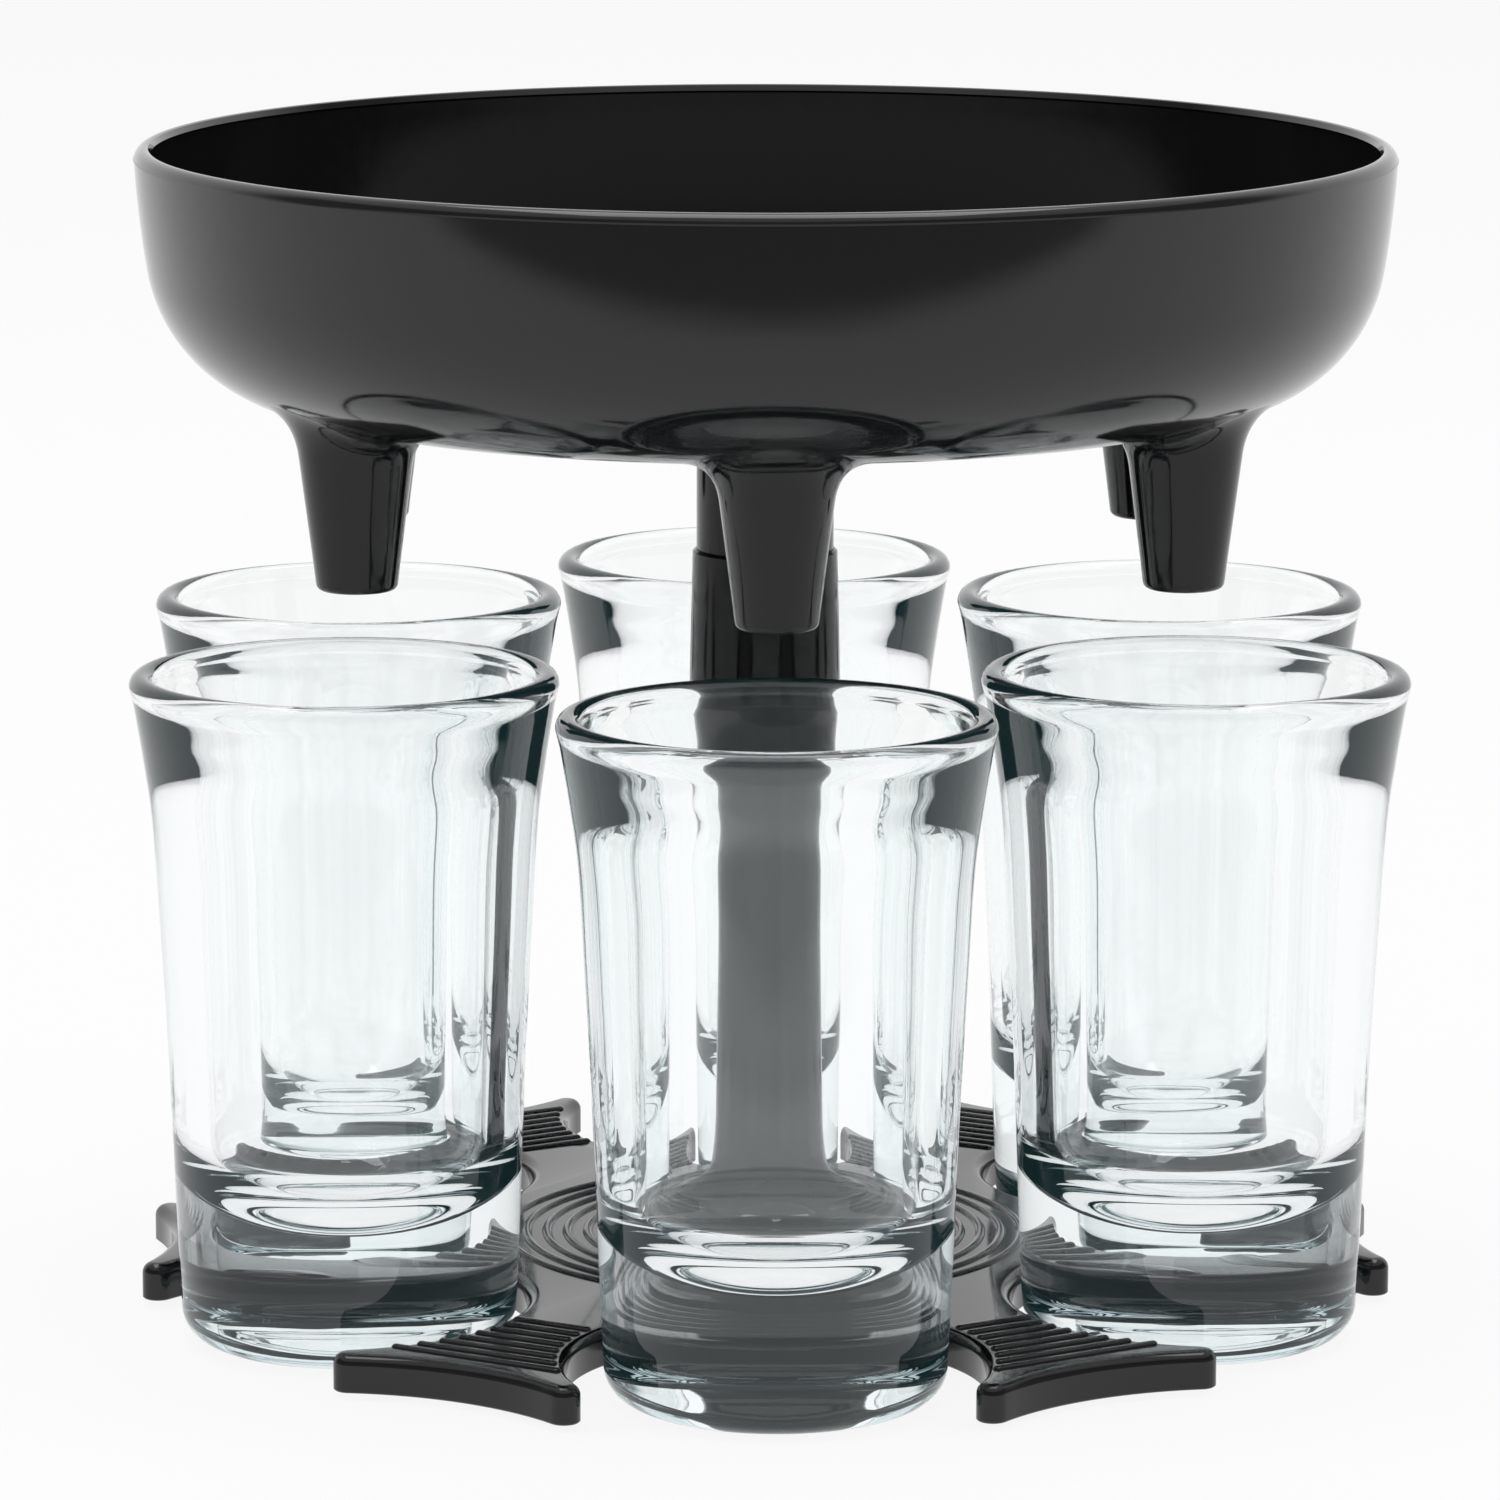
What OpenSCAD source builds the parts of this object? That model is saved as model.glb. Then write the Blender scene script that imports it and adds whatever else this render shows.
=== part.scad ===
// Party shot dispenser: a bowl with six spouts on a lift-out stem, a column with a trumpet foot,
// a six-armed star base on rubber feet, and six heavy-based shot glasses standing between the arms.
// Millimetres. +Z is up, the front is -Y, and the origin is on the column's axis at the table.

/* [Layout] */
// Number of glasses, spouts and arms
count = 6; // [6:1:6]
// Distance from the axis to the middle of each glass
glass_circle = 51.5; // [51:0.1:52.5]
// Distance from the axis to the middle of each spout
spout_circle = 49.9; // [48.5:0.1:51]

/* [Base plate] */
// Height that the rubber feet lift the plate off the table
foot_proud = 0.6; // [0.4:0.05:1.2]
// Height of the plate, from its lower edge to its flat top
plate_h = 4.0; // [3.6:0.1:6]
// Thickness of the plate's top skin
plate_skin = 1.7; // [1.4:0.1:2]
// Thickness of the plate's outer skirt
plate_skirt = 1.6; // [1.2:0.1:1.9]
// Radius of the rounding along the plate's upper edge
plate_round = 1.2; // [0.4:0.1:1.4]
// Distance from the axis to the middle of each scallop
scallop_circle = 54.6; // [54:0.1:55.2]
// Radius of each scallop
scallop_r = 21.7; // [21:0.1:21.9]
// Distance from the axis to the hollow end of each arm
arm_end = 64.75; // [64:0.05:65.6]
// Sideways distance from an arm's middle line to the middle of its tip
tip_side = 12.75; // [12:0.05:13.2]
// Radius of each rounded arm tip
tip_r = 1.7; // [1.5:0.05:1.8]

/* [Grip ribs] */
// Grip ribs on each arm
rib_count = 8; // [3:1:8]
// Distance from one rib to the next, on the arms and on the rings
rib_pitch = 2.22; // [1.8:0.02:2.3]
// Distance from the axis to the innermost grip rib
rib_start = 46.1; // [44:0.1:46.5]
// Width of a rib at the plate's top
rib_w = 1.1; // [0.8:0.05:1.4]
// Height of a rib above the plate's top
rib_h = 0.35; // [0.2:0.05:0.5]
// Plain margin between a rib's end and the scallop's edge
rib_margin = 0.95; // [0.7:0.05:1.5]
// Raised rings round the column's foot
ring_count = 5; // [1:1:5]
// Radius of the innermost raised ring
ring_start = 19.3; // [19:0.1:20]

/* [Column] */
// Height of the column above the plate's top
column_h = 75.7; // [65:0.1:90]
// Outer radius of the column at its top edge
column_top_r = 7.82; // [7.6:0.01:9]
// Outer radius of the column where its foot begins to flare
column_low_r = 9.2; // [9:0.1:10.5]
// Radius of the column's foot where it meets the plate
column_foot_r = 18.0; // [17:0.1:18.2]
// Height of the flare above the plate's top
flare_h = 16; // [12:0.5:20]
// Thickness of the flared foot's wall
foot_wall = 2.0; // [1.6:0.1:2.4]

/* [Stem] */
// Radius of the stem between the column and the bowl
stem_r = 7.4; // [7.2:0.01:7.6]
// Length of stem between the column's top edge and the bowl's collar
stem_show = 12; // [6:0.1:30]
// Radius of the plugs at the two ends of the stem
plug_r = 6.0; // [5.4:0.01:6.2]
// Length of the lower plug, which slides in the column
plug_low_l = 38; // [20:0.5:42]
// Length of the upper plug, which the bowl turns on
plug_top_l = 12; // [8:0.5:12]
// Radius of the bore through the stem
stem_bore_r = 4.4; // [3:0.1:4.6]
// Running clearance between a plug and its bore, on the radius
plug_gap = 0.07; // [0.03:0.01:0.1]

/* [Bowl] */
// Outer radius of the bowl at its parting line
bowl_r = 67.3; // [64:0.1:72]
// Height of the bowl from its flat underside to its top edge
bowl_h = 27.3; // [24:0.1:40]
// Length of the collar that hangs under the bowl round the stem
collar_l = 4.4; // [2:0.1:6]
// Outer radius of that collar
collar_r = 9.2; // [8.6:0.1:11]
// Thickness of the bowl's wall
bowl_wall = 1.6; // [1.3:0.1:2]
// Thickness of the bowl's floor
bowl_floor = 1.8; // [1.5:0.1:2.4]
// Radius of the slight bulge of the bowl's side
side_bow_r = 110; // [80:5:200]
// Lean of the side from upright at the parting line, in degrees
side_lean_top = 3.1; // [1:0.1:4]
// Lean of the side from upright where the round corner starts, in degrees
side_lean_low = 9.3; // [8:0.1:12]
// Height of the rim band above the parting line
rim_band_h = 1.25; // [0.8:0.05:1.6]
// Amount that the parting line stands out
flash = 0.12; // [0.05:0.01:0.2]
// Rise of the bowl's floor from the spouts to the middle
floor_rise = 1.5; // [0.5:0.1:2.5]

/* [Spouts] */
// Length of a spout below the bowl's underside
spout_l = 16.8; // [12:0.1:18]
// Outer radius of a spout at its tip
spout_tip_r = 4.3; // [4:0.05:4.6]
// Outer radius of a spout where it would meet the underside
spout_root_r = 6.35; // [6:0.05:7]
// Radius of the spout's outlet
outlet_r = 2.9; // [2.6:0.05:3.1]
// Radius of the funnel where it opens in the bowl's floor
inlet_r = 4.8; // [4.4:0.1:5]
// Rounding of the spout's lower edge
spout_tip_round = 0.8; // [0.4:0.05:1]
// Reach of the blend between a spout and the bowl's underside
blend = 3.4; // [2:0.1:4]

/* [Glasses] */
// Height of a glass
glass_h = 71.4; // [66:0.1:74]
// Outer radius of a glass at its rim bead
glass_rim_r = 22.5; // [21.5:0.1:23]
// Outer radius of a glass at its waist, halfway up
glass_mid_r = 19.1; // [18.8:0.1:19.4]
// Outer radius of a glass just above its foot rounding
glass_foot_r = 17.75; // [17:0.05:18]
// Thickness of the glass wall
glass_wall = 2.6; // [2:0.1:3]
// Height of the inside floor of a glass above the table
glass_floor = 12.8; // [10:0.1:16]
// Rounding of the inside floor's edge
glass_floor_round = 8.5; // [4:0.1:9]

/* [Fixing] */
// Radius of the shank of the column's screw
screw_r = 2.0; // [1.5:0.05:2.2]
// Length of the screw under its head
screw_l = 14; // [8:0.5:16]
// Radius of the screw's head
screw_head_r = 3.6; // [3:0.1:4]
// Radius of the washer
washer_r = 5.0; // [4.5:0.1:5.4]
// Radius of a rubber foot
foot_r = 3.6; // [2.5:0.1:3.8]
// Depth that a rubber foot is let into its pad
foot_sink = 1.2; // [0.8:0.1:1.6]

/* [Hidden] */
$fn = 96;
step = 360 / count;
black = [0.13, 0.13, 0.14];
clear = [0.80, 0.90, 0.90, 0.35];
steel = [0.70, 0.70, 0.72];
rubber = [0.08, 0.08, 0.08];
front = -90;                       // the first glass stands at the front
sink = 0.4;                        // overlap of features that belong to one moulding
cut = 1;                           // how far a cutter runs past the face it opens
seat_gap = 0.05;                   // play between a shoulder and the face that carries it

plate_z = foot_proud;              // lower edge of the plate
plate_top = plate_z + plate_h;     // flat top of the plate
column_top = plate_top + column_h;
collar_z = column_top + stem_show; // lower face of the bowl's collar
under_z = collar_z + collar_l;     // flat underside of the bowl
rim_z = under_z + bowl_h;
part_z = rim_z - rim_band_h;       // height of the parting line
tip_z = under_z - spout_l;         // lower end of the spouts

// Points on an arc about [x, y], from angle a to angle b in degrees
function arc(x, y, r, a, b, n) = [for (i = [0:n]) let (t = a + (b - a) * i / n) [x + r * cos(t), y + r * sin(t)]];

// ---------- star-shaped plan of the base plate ----------
scallop_x = scallop_circle * cos(step / 2);   // the scallop's middle, seen from the arm's middle line
scallop_y = scallop_circle * sin(step / 2);
tip_x = scallop_x + sqrt(pow(scallop_r + tip_r, 2) - pow(scallop_y - tip_side, 2));
// The hollow end is an arc through arm_end that just touches the round tip
end_r = (pow(tip_x - arm_end, 2) + pow(tip_side, 2) - pow(tip_r, 2)) / (2 * (tip_r + tip_x - arm_end));
end_x = arm_end + end_r;
function turned(p, a) = [p[0] * cos(a) - p[1] * sin(a), p[0] * sin(a) + p[1] * cos(a)];

// Half the width of an arm at distance x along it
function arm_half(x) = scallop_y - sqrt(max(0, pow(scallop_r, 2) - pow(x - scallop_x, 2)));

// ---------- base plate ----------
round_steps = 4;
// The plate's plan: arcs that touch each other round every tip, all drawn inwards by s
module star(s) {
    difference() {
        union() {
            polygon([for (k = [0:count - 1]) for (p = [
                [scallop_x, -scallop_y], [tip_x, -tip_side], [end_x, 0], [tip_x, tip_side]
            ]) turned(p, k * step)]);
            for (k = [0:count - 1]) rotate(k * step)
                for (m = [-1, 1]) translate([tip_x, m * tip_side]) circle(r = tip_r - s + 0.01);
        }
        for (k = [0:count - 1]) rotate(k * step) {
            translate([scallop_x, scallop_y]) circle(r = scallop_r + s);
            translate([end_x, 0]) circle(r = end_r + s);
        }
    }
}
module plate_shell() {
    translate([0, 0, plate_z]) linear_extrude(plate_h - plate_round) star(0);
    for (i = [1:round_steps]) let (a = 90 * (i - 1) / round_steps, b = 90 * i / round_steps, m = (a + b) / 2)
        translate([0, 0, plate_top - plate_round * 1.5]) linear_extrude(plate_round * (0.5 + sin(b)))
            star(plate_round * (1 - cos(m)));
}

rib_edge = (pow(rib_w / 2, 2) - pow(rib_h, 2)) / (2 * rib_h);   // depth of the rib's middle line below the top
rib_r = rib_edge + rib_h;
rib_bevel = 0.18;                  // width of the bevel along a rib's upper edge
module rib_plan(x, w) {
    half = arm_half(x) - rib_margin - rib_w / 2;
    translate([x, 0]) {
        square([w, 2 * half], center = true);
        for (m = [-1, 1]) translate([0, m * half]) circle(r = w / 2);
    }
}
module grip_ribs() {
    for (j = [0, 1]) translate([0, 0, plate_top - sink])
        linear_extrude(sink + rib_h * (j == 0 ? 0.6 : 1))
            for (k = [0:count - 1]) rotate(k * step) for (i = [0:rib_count - 1])
                rib_plan(rib_start + i * rib_pitch, rib_w - j * 2 * rib_bevel);
}

module raised_rings() {
    for (i = [0:ring_count - 1])
        rotate_extrude() translate([ring_start + i * rib_pitch, plate_top - rib_edge]) circle(r = rib_r, $fn = 24);
}

pad_x = 58;                        // where the pads for the rubber feet are, along each arm
pad_r = foot_r + 1.4;
screw_boss_r = washer_r + 1.2;
locator_h = 1.2;
foot_edge = 0.8;                   // upright edge round the column's foot
// The locating ring just clears the hollow inside the column's foot at the ring's own height
locator_t = acos(1 - (locator_h + cut) / (flare_h - foot_edge));
locator_r = flare_r(90 - locator_t) - foot_wall - 0.3;
pocket_top = plate_top - plate_skin;
web = 1.4;
module under_pocket() {
    difference() {
        translate([0, 0, plate_z - cut]) linear_extrude(pocket_top - plate_z + cut)
            star(plate_skirt);
        cylinder(r = screw_boss_r, h = plate_top);
        for (k = [0:count - 1]) rotate(k * step) {
            translate([pad_x, 0, 0]) cylinder(r = pad_r, h = plate_top);
            translate([0, -web / 2, 0]) cube([pad_x, web, plate_top]);
        }
        difference() {
            cylinder(r = ring_start + web, h = plate_top);
            translate([0, 0, -cut]) cylinder(r = ring_start, h = plate_top + 2 * cut);
        }
    }
}

washer_t = 0.6;
screw_head_h = 1.2;
washer_z = plate_z + screw_head_h + 0.1;
screw_hole_r = screw_r + 0.25;
module base_plate() {
    color(black) difference() {
        union() {
            plate_shell();
            grip_ribs();
            raised_rings();
            difference() {
                translate([0, 0, plate_top - sink]) cylinder(r = locator_r, h = locator_h + sink);
                translate([0, 0, plate_top]) cylinder(r = locator_r - web, h = locator_h + cut);
            }
        }
        under_pocket();
        translate([0, 0, plate_z - cut]) cylinder(r = screw_hole_r, h = plate_h + 2 * cut);
        translate([0, 0, plate_z - cut]) cylinder(r = washer_r + 0.3, h = washer_z + washer_t - plate_z + cut);
        for (k = [0:count - 1]) rotate(k * step)
            translate([pad_x, 0, plate_z - cut]) cylinder(r = foot_r + 0.05, h = foot_sink + cut);
    }
}

module base_feet() {
    color(rubber) for (k = [0:count - 1]) rotate(k * step) translate([pad_x, 0, 0])
        rotate_extrude() polygon([
            [0, 0], [foot_r - 0.3, 0], [foot_r, 0.3], [foot_r, plate_z + foot_sink], [0, plate_z + foot_sink]
        ]);
}

// ---------- column ----------
bore_r = plug_r + plug_gap;
bore_z = column_top - plug_low_l - 4;    // bottom of the bore that takes the stem's lower plug
flare_top = plate_top + flare_h;
screw_tip = washer_z + washer_t + screw_l;
function flare_r(t) = column_foot_r - (column_foot_r - column_low_r) * cos(t);
module column() {
    flare = [for (i = [0:16]) let (t = 90 * i / 16)
        [flare_r(90 - t), plate_top + foot_edge + (flare_h - foot_edge) * (1 - cos(t))]];
    inner = [for (i = [0:12]) let (t = 90 * i / 12)
        [flare_r(90 - t) - foot_wall, plate_top - cut + (flare_h - foot_edge) * (1 - cos(t))]];
    color(black) difference() {
        rotate_extrude() polygon(concat(
            [[0, plate_top], [column_foot_r, plate_top], [column_foot_r, plate_top + foot_edge]],
            [for (p = flare) if (p[0] < column_foot_r - 0.01) p],
            [[column_top_r, column_top - 0.3], [column_top_r - 0.3, column_top], [0, column_top]]
        ));
        translate([0, 0, bore_z]) cylinder(r = bore_r, h = column_top - bore_z + cut);
        difference() {
            rotate_extrude() polygon(concat([[0, plate_top - cut]], inner, [[0, inner[12][1]]]));
            cylinder(r = 2 * screw_r + 1, h = column_top);
        }
        translate([0, 0, plate_top - cut]) cylinder(r = screw_r, h = screw_tip - plate_top + 1 + cut);
    }
}

module column_screw() {
    slot_w = 1;
    color(steel) difference() {
        union() {
            translate([0, 0, washer_z - screw_head_h]) cylinder(r1 = screw_head_r - 0.5, r2 = screw_head_r, h = screw_head_h);
            translate([0, 0, washer_z - sink]) cylinder(r = screw_r, h = screw_l + washer_t + sink - screw_r);
            translate([0, 0, washer_z + washer_t + screw_l - screw_r]) cylinder(r1 = screw_r, r2 = screw_r / 4, h = screw_r);
        }
        for (a = [0, 90]) rotate(a) translate([-screw_head_r / 2, -slot_w / 2, washer_z - screw_head_h - cut])
            cube([screw_head_r, slot_w, cut + 0.7]);
    }
}

module screw_washer() {
    color(steel) translate([0, 0, washer_z]) difference() {
        cylinder(r = washer_r, h = washer_t);
        translate([0, 0, -cut]) cylinder(r = screw_hole_r, h = washer_t + 2 * cut);
    }
}

// ---------- stem ----------
socket_top = collar_z + plug_top_l + 0.5;
lead_in = 0.6;
module stem() {
    low = column_top - plug_low_l;
    shoulder = column_top + seat_gap;
    head = collar_z - seat_gap;
    top = collar_z + plug_top_l;
    color(black) rotate_extrude() polygon([
        [stem_bore_r, low], [plug_r - lead_in, low], [plug_r, low + lead_in], [plug_r, shoulder],
        [stem_r, shoulder], [stem_r, head], [plug_r, head], [plug_r, top - lead_in],
        [plug_r - lead_in, top], [stem_bore_r, top]
    ]);
}

// ---------- bowl ----------
// The side is a wide arc from the parting line down to the round corner, which ends flat on the underside
side_x = bowl_r - side_bow_r * cos(side_lean_top);
side_z = part_z + side_bow_r * sin(side_lean_top);
corner_start = [side_x + side_bow_r * cos(side_lean_low), side_z - side_bow_r * sin(side_lean_low)];
corner_r = (corner_start[1] - under_z) / (1 - sin(side_lean_low));
corner_x = corner_start[0] - corner_r * cos(side_lean_low);
corner_z = under_z + corner_r;
flat_x = spout_circle - spout_root_r - blend - 1;    // the floor is level outside this radius
dome_r = collar_r + 0.4;                             // boss over the stem's socket, inside the bowl
dome_top = socket_top + bowl_floor + 0.3;
dome_round = 3;                                      // rounding of the dome's upper edge
dome_fillet = 2;                                     // fillet between the dome and the floor
band_end = 75;                                       // angle where the rim band's curve stops

// Height of the underside at radius r
function under_at(r) = r <= corner_x ? under_z : corner_z - sqrt(max(0, pow(corner_r, 2) - pow(r - corner_x, 2)));

// Side of the bowl, drawn inwards by t, from the flat part of the floor up to the parting line
function side_points(t) = concat(
    arc(corner_x, corner_z, corner_r - t, -90, -side_lean_low, 14),
    arc(side_x, side_z, side_bow_r - t, -side_lean_low, -side_lean_top, 4)
);

module bowl_outside() {
    side = side_points(0);
    band = arc(bowl_r - rim_band_h, part_z, rim_band_h, 12, band_end, 4);
    rotate_extrude($fn = 180) polygon(concat(
        [[0, under_z + floor_rise], [collar_r, under_z + floor_rise], [flat_x, under_z]],
        side,
        [[bowl_r + flash, part_z + 0.08]],
        band,
        [[0, rim_z]]
    ));
}

module bowl_inside() {
    t = bowl_wall;
    lift = bowl_floor - bowl_wall;
    side = [for (p = side_points(t)) [p[0], p[1] + lift]];
    rotate_extrude($fn = 180) polygon(concat(
        [[0, dome_top], [dome_r - dome_round - 0.1, dome_top]],
        arc(dome_r - dome_round, dome_top - dome_round, dome_round, 90, 0, 5),
        arc(dome_r + dome_fillet, under_z + bowl_floor + floor_rise + dome_fillet, dome_fillet, 180, 270, 4),
        [[flat_x, under_z + bowl_floor]],
        side,
        [[bowl_r - t - 0.2, rim_z - 0.6], [bowl_r - t + 0.3, rim_z + 0.01], [0, rim_z + cut]]
    ));
}

// The blend: round each spout, curves that leave its side and run out tangent to the bowl's underside
blend_sides = 30;
blend_steps = 5;
taper = (spout_root_r - spout_tip_r) / (spout_l - 0.9);
function spout_r(z) = spout_root_r - taper * (under_z - z);
function blend_end(a) = let (far = spout_root_r + blend, r = norm([spout_circle + far * cos(a), far * sin(a)]))
    [far, under_at(r)];
function blend_mid(a) = let (r = norm([spout_circle + spout_root_r * cos(a), spout_root_r * sin(a)]), z = under_at(r))
    [spout_r(z), z];
function blend_start(a) = let (z = blend_mid(a)[1] - blend * 1.15) [spout_r(z) - 0.04, z];
function curve(p, q, r, t) = (1 - t) * (1 - t) * p + 2 * t * (1 - t) * q + t * t * r;
// One blend curve in its own plane: [distance from the spout's middle, height]
function blend_curve(a) = let (p = blend_start(a), q = blend_mid(a), r = blend_end(a)) concat(
    [for (i = [0:blend_steps]) curve(p, q, r + [0.5, 0.06], i / blend_steps)],
    [r + [0.5, 0.9]]
);
module spout_blend() {
    curves = [for (i = [0:blend_sides - 1]) blend_curve(i * 360 / blend_sides)];
    m = blend_steps + 2;
    points = [for (j = [0:m - 1]) for (i = [0:blend_sides - 1]) let (a = i * 360 / blend_sides, c = curves[i][j])
        [c[0] * cos(a), c[0] * sin(a), c[1]]];
    low = len(points);
    high = low + 1;
    sides = [for (j = [0:m - 2]) for (i = [0:blend_sides - 1]) let (k = (i + 1) % blend_sides) for (f = [
        [j * blend_sides + i, (j + 1) * blend_sides + k, j * blend_sides + k],
        [j * blend_sides + i, (j + 1) * blend_sides + i, (j + 1) * blend_sides + k]
    ]) f];
    bottom = [for (i = [0:blend_sides - 1]) [low, i, (i + 1) % blend_sides]];
    roof = [for (i = [0:blend_sides - 1])
        [high, (m - 1) * blend_sides + (i + 1) % blend_sides, (m - 1) * blend_sides + i]];
    translate([spout_circle, 0, 0]) polyhedron(
        points = concat(points, [[0, 0, under_z - blend * 1.15], [0, 0, under_z + 0.9]]),
        faces = concat(sides, bottom, roof)
    );
}

module spout_outside() {
    translate([spout_circle, 0, 0]) rotate_extrude() polygon(concat(
        [[0, tip_z]],
        arc(spout_tip_r - spout_tip_round, tip_z + spout_tip_round, spout_tip_round, -90, 0, 4),
        [[spout_root_r, under_z], [spout_root_r, under_z + 1], [0, under_z + 1]]
    ));
}

outlet_l = 4;
module spout_inside() {
    floor_z = under_z + bowl_floor;
    translate([spout_circle, 0, 0]) {
        translate([0, 0, tip_z - cut]) cylinder(r = outlet_r, h = outlet_l + cut);
        translate([0, 0, tip_z + outlet_l]) cylinder(r1 = outlet_r, r2 = inlet_r, h = floor_z - tip_z - outlet_l);
        translate([0, 0, floor_z]) cylinder(r = inlet_r, h = 3);
    }
}

module bowl() {
    color(black) difference() {
        union() {
            bowl_outside();
            for (k = [0:count - 1]) rotate(front + k * step) {
                spout_outside();
                spout_blend();
            }
            translate([0, 0, collar_z]) cylinder(r = collar_r, h = collar_l + floor_rise + 1);
        }
        bowl_inside();
        for (k = [0:count - 1]) rotate(front + k * step) spout_inside();
        translate([0, 0, collar_z - cut]) cylinder(r = bore_r, h = socket_top - collar_z + cut);
    }
}

// ---------- glasses ----------
bead = 1.3;                          // height of the rim bead's widest line below the rim
neck = 0.45;                         // how far the glass draws in under the bead
module glass() {
    foot_round = 2.4;
    outer = [
        [glass_foot_r + 0.45, 14], [glass_foot_r + 0.85, 25], [glass_mid_r, 36], [glass_mid_r + 0.5, 45],
        [glass_rim_r - 2.3, 55.5], [glass_rim_r - 1.45, 62], [glass_rim_r - 0.75, glass_h - 5],
        [glass_rim_r - neck, glass_h - 3.2]
    ];
    inner_low = glass_floor + glass_floor_round;
    inner = [
        [glass_rim_r - glass_wall - 0.45, glass_h - 3.2], [glass_rim_r - glass_wall - 1.0, glass_h - 6],
        [glass_rim_r - glass_wall - 1.75, 60], [glass_rim_r - glass_wall - 2.5, 52],
        [glass_mid_r - glass_wall + 0.1, 40], [glass_foot_r - 1.5, 28]
    ];
    well = glass_foot_r - 1.8;
    color(clear) rotate_extrude() polygon(concat(
        [[0, 0.8], [glass_foot_r - 5, 0.35], [glass_foot_r - 4, 0]],
        arc(glass_foot_r - foot_round, foot_round, foot_round, -90, 0, 5),
        outer,
        arc(glass_rim_r - 1.3, glass_h - bead, 1.3, 0, 180, 8),
        inner,
        arc(well - glass_floor_round, inner_low, glass_floor_round, 0, -90, 7),
        [[0, glass_floor]]
    ));
}
module placed_glass(k) {
    rotate(front + k * step) translate([glass_circle, 0, 0]) glass();
}

base_plate();
base_feet();
column();
column_screw();
screw_washer();
stem();
bowl();
placed_glass(0);  // glass_front
placed_glass(1);  // glass_front_right
placed_glass(2);  // glass_rear_right
placed_glass(3);  // glass_rear
placed_glass(4);  // glass_rear_left
placed_glass(5);  // glass_front_left
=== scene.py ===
import bmesh
import bpy
import math
from mathutils import Matrix, Vector


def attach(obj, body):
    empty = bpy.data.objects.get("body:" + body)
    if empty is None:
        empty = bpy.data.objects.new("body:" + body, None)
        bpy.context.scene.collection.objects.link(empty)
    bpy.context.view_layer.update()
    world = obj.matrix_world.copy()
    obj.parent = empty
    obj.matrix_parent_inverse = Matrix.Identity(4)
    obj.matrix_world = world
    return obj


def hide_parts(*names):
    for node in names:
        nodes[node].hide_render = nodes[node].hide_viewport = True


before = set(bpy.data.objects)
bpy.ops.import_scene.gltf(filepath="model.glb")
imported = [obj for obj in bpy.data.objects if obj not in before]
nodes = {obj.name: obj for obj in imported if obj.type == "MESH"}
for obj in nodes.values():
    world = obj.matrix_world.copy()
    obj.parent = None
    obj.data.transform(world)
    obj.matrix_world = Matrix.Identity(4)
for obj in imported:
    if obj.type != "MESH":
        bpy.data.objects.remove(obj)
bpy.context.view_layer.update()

# Sizes of the object in millimetres, as its solids have them. Here and below, _R is a radius or a distance
# from the axis, and _Z is a height above the table.
GLASS_R, SPOUT_R = 51.5, 49.9
PLATE_Z, PLATE_TOP = 0.6, 4.6
COLUMN_TOP = 80.3
COLLAR_Z, UNDER_Z, RIM_Z = 92.3, 96.7, 124.0
PART_Z = RIM_Z - 1.25
SPOUT_L = 16.8
TIP_Z = UNDER_Z - SPOUT_L
ANGLES = [-90 + 60 * k for k in range(6)]
NAMES = ["front", "front_right", "rear_right", "rear", "rear_left", "front_left"]
MM = 0.001


# ---------------------------------------------------------------- materials
PLASTIC_COLOUR = (0.0062, 0.0062, 0.0066)
# Fitted piece by piece to the photograph's tones: the real parts are probably one plastic
# Each part's IOR sets how bright its reflections are: lit and shaded copies of one plastic, with light and
# shade painted into the reflections
PLASTIC_IOR, PLATE_IOR, COLUMN_IOR, SPOUT_IOR = 1.5, 1.48, 1.32, 1.40
GLASS_IOR = 1.52


def material(name):
    m = bpy.data.materials.new(name)
    m.use_nodes = True
    return m, m.node_tree, m.node_tree.nodes["Principled BSDF"]


def node(nt, kind, **values):
    n = nt.nodes.new(kind)
    for k, v in values.items():
        if k.startswith("in_"):
            n.inputs[k[3:].replace("_", " ")].default_value = v
        else:
            setattr(n, k, v)
    return n


def coords(nt, scale=(1, 1, 1)):
    tc = nt.nodes.new("ShaderNodeTexCoord")
    mp = nt.nodes.new("ShaderNodeMapping")
    mp.inputs["Scale"].default_value = scale
    nt.links.new(tc.outputs["Object"], mp.inputs["Vector"])
    return mp.outputs["Vector"]


def set_inputs(n, **values):
    for k, v in values.items():
        n.inputs[k.replace("_", " ")].default_value = v


def two_colours(nt, fac, low, high, at=(0.0, 1.0)):
    """Colour ramp between two colours, driven by fac."""
    ramp = nt.nodes.new("ShaderNodeValToRGB")
    for e, p, c in zip(ramp.color_ramp.elements, at, (low, high)):
        e.position = p
        e.color = (*c, 1)
    nt.links.new(fac, ramp.inputs["Fac"])
    return ramp.outputs["Color"]


def noise(nt, vec, scale, **values):
    n = node(nt, "ShaderNodeTexNoise", in_Scale=scale, **values)
    nt.links.new(vec, n.inputs["Vector"])
    return n.outputs["Fac"]


def add_bump(nt, bsdf, height, strength, distance):
    bump = node(nt, "ShaderNodeBump", in_Strength=strength, in_Distance=distance)
    nt.links.new(height, bump.inputs["Height"])
    nt.links.new(bump.outputs["Normal"], bsdf.inputs["Normal"])


def spread_roughness(nt, bsdf, fac, low, high, **values):
    spread = node(nt, "ShaderNodeMapRange")
    set_inputs(spread, To_Min=low, To_Max=high, **values)
    nt.links.new(fac, spread.inputs["Value"])
    nt.links.new(spread.outputs["Result"], bsdf.inputs["Roughness"])


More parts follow.
